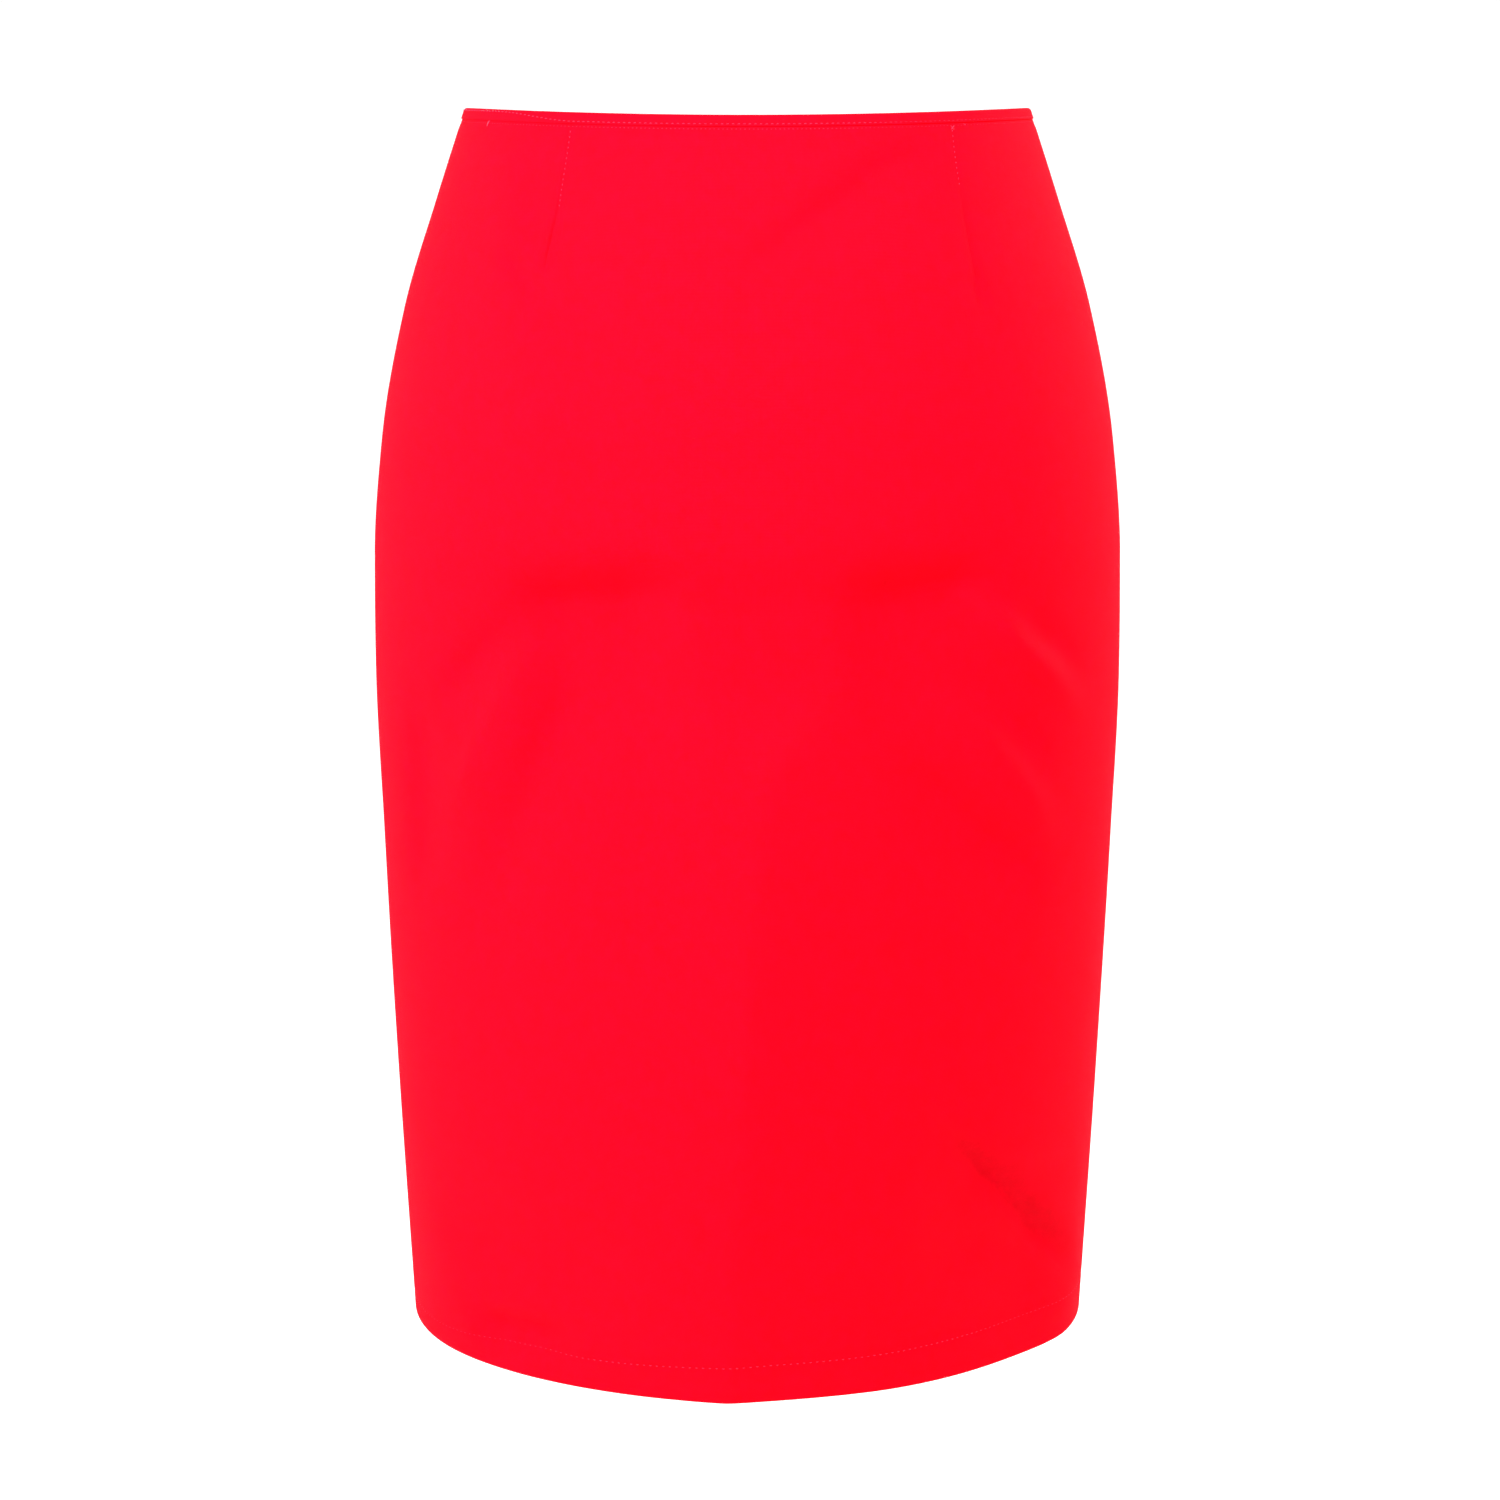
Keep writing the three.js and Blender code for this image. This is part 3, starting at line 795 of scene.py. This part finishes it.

# %% [markdown]
# ## The knit
#
# The cloth is a fine, dense double knit: smooth and matt, with a soft glow where it turns away. Up
# close it is columns of small V-shaped loops. One node group makes the loops, a little fuzz and a
# faint mottle, and the cloth and the binding both use it. It paints the loops a deeper red where
# they lie low, as painted shade in their hollows. The mottle varies the tone at random. Its colour
# is so strong a red that hardly any green is left in it.


# %% Node helpers
def put(tree, kind, inputs=(), **settings):
    """A node with its settings, and a value or a link for each named or numbered input."""
    made = tree.nodes.new("ShaderNode" + kind)
    for name, value in settings.items():
        setattr(made, name, value)
    for name, value in dict(inputs).items():
        if isinstance(value, bpy.types.NodeSocket):
            tree.links.new(value, made.inputs[name])
        else:
            made.inputs[name].default_value = value
    return made


def sum_up(tree, operation, *values):
    """The result of one Math node."""
    return put(tree, "Math", enumerate(values), operation=operation).outputs[0]


def new_group(name, inputs, outputs):
    """A shader node group with its sockets, and the two nodes that stand for them inside."""
    group = bpy.data.node_groups.new(name, "ShaderNodeTree")
    for side, sockets in (("INPUT", inputs), ("OUTPUT", outputs)):
        for socket, kind in sockets:
            group.interface.new_socket(socket, in_out=side, socket_type="NodeSocket" + kind)
    return group, group.nodes.new("NodeGroupInput"), group.nodes.new("NodeGroupOutput")


# %% Knit group
FUZZ_SCALE, MOTTLE_SCALE = 1400, 120  # cells of noise to a metre
# The loops' share is painted shade: the colour is deeper red in the loops' low parts, in step with
# their bump. The mottle's share varies the tone at random.
LOOPS_PAINTED_SHADE, MOTTLE_SHADE, SHADE_FROM = 0.2, 1.9, -0.55  # how much each adds to the colour's mix
FUZZ_HEIGHT = 0.5  # against the loops' height of 1
FUZZ_ROUGH, ROUGH_FROM = 0.2, 0.72
knit, knit_in, knit_out = new_group(
    "stretch_knit",
    [("Cloth", "Vector"), ("Object", "Vector"), ("Colour", "Color"), ("Deep", "Color")]
    + [("Wale", "Float"), ("Course", "Float")],
    [("Colour", "Color"), ("Roughness", "Float"), ("Height", "Float")],
)
across = put(knit, "SeparateXYZ", {0: knit_in.outputs["Cloth"]})
columns = sum_up(knit, "DIVIDE", across.outputs[0], knit_in.outputs["Wale"])
courses = sum_up(knit, "DIVIDE", across.outputs[1], knit_in.outputs["Course"])
leg = sum_up(knit, "ABSOLUTE", sum_up(knit, "SUBTRACT", sum_up(knit, "FRACT", columns), 0.5))
lap = sum_up(knit, "ADD", courses, leg)
loops = sum_up(knit, "SINE", sum_up(knit, "MULTIPLY", lap, 2 * math.pi))
ribs = sum_up(knit, "COSINE", sum_up(knit, "MULTIPLY", columns, 4 * math.pi))
knitted = sum_up(knit, "MULTIPLY_ADD", sum_up(knit, "ADD", loops, ribs), 0.25, 0.5)
fuzz = put(
    knit, "TexNoise", {"Vector": knit_in.outputs["Object"], "Scale": FUZZ_SCALE, "Detail": 3}
)
mottle = put(
    knit,
    "TexNoise",
    {"Vector": knit_in.outputs["Object"], "Scale": MOTTLE_SCALE, "Detail": 3, "Roughness": 0.95},
)
# Painted shade: where the loops lie low, in the hollows of their bump, the colour leans to the deep
# red.
shade = sum_up(knit, "MULTIPLY_ADD", knitted, LOOPS_PAINTED_SHADE, SHADE_FROM)
shade = sum_up(knit, "MULTIPLY_ADD", mottle.outputs[0], MOTTLE_SHADE, shade)
# A colour Mix takes its factor at socket 0 and its two colours at sockets 6 and 7.
colour = put(
    knit,
    "Mix",
    {0: shade, 6: knit_in.outputs["Deep"], 7: knit_in.outputs["Colour"]},
    data_type="RGBA",
    clamp_factor=True,
)
height = sum_up(knit, "MULTIPLY_ADD", fuzz.outputs[0], FUZZ_HEIGHT, knitted)
rough = sum_up(knit, "MULTIPLY_ADD", fuzz.outputs[0], FUZZ_ROUGH, ROUGH_FROM)
for name, value in (("Colour", colour.outputs[2]), ("Roughness", rough), ("Height", height)):
    knit.links.new(value, knit_out.inputs[name])
print("knit group has", len(knit.nodes), "nodes")

# %% [markdown]
# The material gives the group its colours and the size of a loop, and turns its height into a
# bump. Sheen stands for the fine fibres that stand out from the yarn: they catch the light at the
# cloth's edges. It is tinted like the cloth, because dyed fibres don't glow white.

# %% Cloth and thread materials
# DEEP_RED is the colour of the loops' hollows, as painted shade, and of the mottle's darker
# patches.
RED, DEEP_RED = (0.88, 0.0, 0.0109, 1), (0.78, 0.0, 0.0059, 1)
SHEEN_TINT = (1.0, 0.0, 0.06, 1)
THREAD_RED, THREAD_PINK = (0.9, 0.002, 0.028, 1), (0.95, 0.008, 0.052, 1)
WALE, COURSE = 0.00075, 0.00060  # metres across a column of loops, and up a row of them


def cloth_material(name, wale, course):
    """Knit cloth in metres: columns of loops a wale apart and rows a course apart."""
    material = bpy.data.materials.new(name)
    material.use_nodes = True
    tree = material.node_tree
    surface = tree.nodes["Principled BSDF"]
    cloth_map = put(tree, "UVMap", uv_map="cloth")
    place = put(tree, "TexCoord")
    made = put(tree, "Group", node_tree=knit)
    tree.links.new(cloth_map.outputs["UV"], made.inputs["Cloth"])
    tree.links.new(place.outputs["Object"], made.inputs["Object"])
    made.inputs["Colour"].default_value = RED
    made.inputs["Deep"].default_value = DEEP_RED
    made.inputs["Wale"].default_value = wale
    made.inputs["Course"].default_value = course
    bump = put(
        tree, "Bump", {"Height": made.outputs["Height"], "Strength": 0.35, "Distance": 0.00025}
    )
    for socket, value in (
        ("Base Color", made.outputs["Colour"]),
        ("Roughness", made.outputs["Roughness"]),
        ("Normal", bump.outputs[0]),
    ):
        tree.links.new(value, surface.inputs[socket])
    surface.inputs["Specular IOR Level"].default_value = 0.03
    surface.inputs["Sheen Weight"].default_value = 0.15
    surface.inputs["Sheen Roughness"].default_value = 0.45
    surface.inputs["Sheen Tint"].default_value = SHEEN_TINT
    return material


def thread_material():
    """Polyester thread: the cloth's red, a little lighter and pinker, with a twist along it."""
    material = bpy.data.materials.new("thread")
    material.use_nodes = True
    tree = material.node_tree
    surface = tree.nodes["Principled BSDF"]
    place = put(tree, "TexCoord")
    fibres = put(
        tree, "TexNoise", {"Vector": place.outputs["Object"], "Scale": 5000, "Detail": 2}
    )
    colour = put(
        tree,
        "Mix",
        {0: fibres.outputs[0], 6: THREAD_RED, 7: THREAD_PINK},
        data_type="RGBA",
    )
    bump = put(tree, "Bump", {"Height": fibres.outputs[0], "Strength": 0.3, "Distance": 0.0001})
    tree.links.new(colour.outputs[2], surface.inputs["Base Color"])
    tree.links.new(bump.outputs[0], surface.inputs["Normal"])
    surface.inputs["Roughness"].default_value = 0.5
    surface.inputs["Specular IOR Level"].default_value = 0.2
    return material


panel_cloth = cloth_material("panel_cloth", WALE, COURSE)
strip_cloth = cloth_material("strip_cloth", COURSE, WALE)  # cut across the loops
thread = thread_material()
for piece, material, slot in (
    (back_cloth, panel_cloth, "cloth"),
    (front_cloth, panel_cloth, "cloth"),
    (waist_strip, strip_cloth, "binding"),
    (hem_stitches, thread, "cloth"),
    (binding_stitches, thread, "binding"),
    (dart_stitches, thread, "cloth"),
    (thread_marks, thread, "cloth"),
):
    piece.data.materials.append(material)
    print(f"{piece.name} is made of {material.name}")

# %% [markdown]

# %% [markdown]
# ## The studio
#
# The photo is on white. Paper that glows a little sweeps up into a wall with no corner, well below
# and behind the skirt. Four soft lights stand close, so that the hem gets less than the seat: a
# low one at the left, and three above the camera, which draw the shade under the seat. Two at the
# sides, a little behind, draw the bright bands down both edges. One lights the far side for other
# views. Past the paper's edges the world looks white to the camera, but it gives hardly any light.


# %% Stage
def sweep():
    """A floor and a wall joined by a quarter circle, as a path carried across, in metres."""
    floor, front, wall, top, radius, half_width = -1.15, -6.0, 2.6, 4.0, 1.2, 6.0
    turn = np.linspace(0, np.pi / 2, 25)
    y = np.concatenate([[front], wall - radius + radius * np.sin(turn), [wall]])
    z = np.concatenate([[floor], floor + radius * (1 - np.cos(turn)), [top]])
    x = np.array([-half_width, half_width])
    points = np.stack(np.broadcast_arrays(x[None, :], y[:, None], z[:, None]), axis=-1)
    index = np.arange(points.shape[0] * 2).reshape(-1, 2)
    mesh = bpy.data.meshes.new("studio_sweep")
    mesh.from_pydata(points.reshape(-1, 3).tolist(), [], quads_of(index)[:, ::-1].tolist())
    mesh.polygons.foreach_set("use_smooth", np.ones(len(mesh.polygons), bool))
    made = bpy.data.objects.new("studio_sweep", mesh)
    bpy.context.scene.collection.objects.link(made)
    paper = bpy.data.materials.new("paper")
    paper.use_nodes = True
    shader = paper.node_tree.nodes["Principled BSDF"]
    shader.inputs["Base Color"].default_value = (0.9, 0.9, 0.9, 1)
    shader.inputs["Roughness"].default_value = 0.9
    shader.inputs["Specular IOR Level"].default_value = 0.1
    shader.inputs["Emission Color"].default_value = (1, 1, 1, 1)
    shader.inputs["Emission Strength"].default_value = 0.3
    made.data.materials.append(paper)
    return made


studio_sweep = sweep()
print("the paper has", len(studio_sweep.data.polygons), "faces")

# %% Lights
# side is degrees round from the camera, up is degrees above level, aim is the height lit.
LIGHT_COLUMNS = ("name", "side", "up", "watts", "size", "away", "aim")
LIGHTS = [
    ("left_low", -60, 12, 28, 0.6, 1.25, -0.2),
    ("front_left", -30, 32, 7, 0.6, 1.25, -0.2),
    ("front_right", 30, 32, 10, 0.6, 1.25, -0.2),
    ("front_right_high", 30, 52, 19, 0.6, 1.25, -0.2),
    ("right_edge", 120, 22, 26, 0.9, 2.2, -0.28),
    ("left_edge", -120, 22, 13, 0.9, 2.2, -0.28),
    ("far_side", 180, 30, 25, 1.2, 2.2, -0.28),
]
for row in LIGHTS:
    light = dict(zip(LIGHT_COLUMNS, row))
    side, up = math.radians(light["side"]), math.radians(light["up"])
    towards = Vector((math.sin(side) * math.cos(up), -math.cos(side) * math.cos(up), math.sin(up)))
    data = bpy.data.lights.new(light["name"], "AREA")
    data.shape = "SQUARE"
    data.size = light["size"]
    data.energy = light["watts"]
    lamp = bpy.data.objects.new(light["name"], data)
    lamp.location = Vector((0, 0, light["aim"])) + towards * light["away"]
    lamp.rotation_euler = (-towards).to_track_quat("-Z", "Y").to_euler()
    lamp.visible_camera = False
    bpy.context.scene.collection.objects.link(lamp)
world = bpy.data.worlds.new("studio")
world.use_nodes = True
WORLD_STRENGTH, WORLD_SEEN = 0.02, 1.0  # what it adds to the light, and how bright it looks
sky, seen = world.node_tree.nodes["Background"], put(world.node_tree, "Background")
for shade, strength in ((sky, WORLD_STRENGTH), (seen, WORLD_SEEN)):
    shade.inputs["Color"].default_value = (1, 1, 1, 1)
    shade.inputs["Strength"].default_value = strength
straight = put(world.node_tree, "LightPath").outputs["Is Camera Ray"]
backdrop = put(world.node_tree, "MixShader", {0: straight, 1: sky.outputs[0], 2: seen.outputs[0]})
output = world.node_tree.nodes["World Output"]
world.node_tree.links.new(backdrop.outputs[0], output.inputs["Surface"])
bpy.context.scene.world = world
print(len(LIGHTS), "lights")
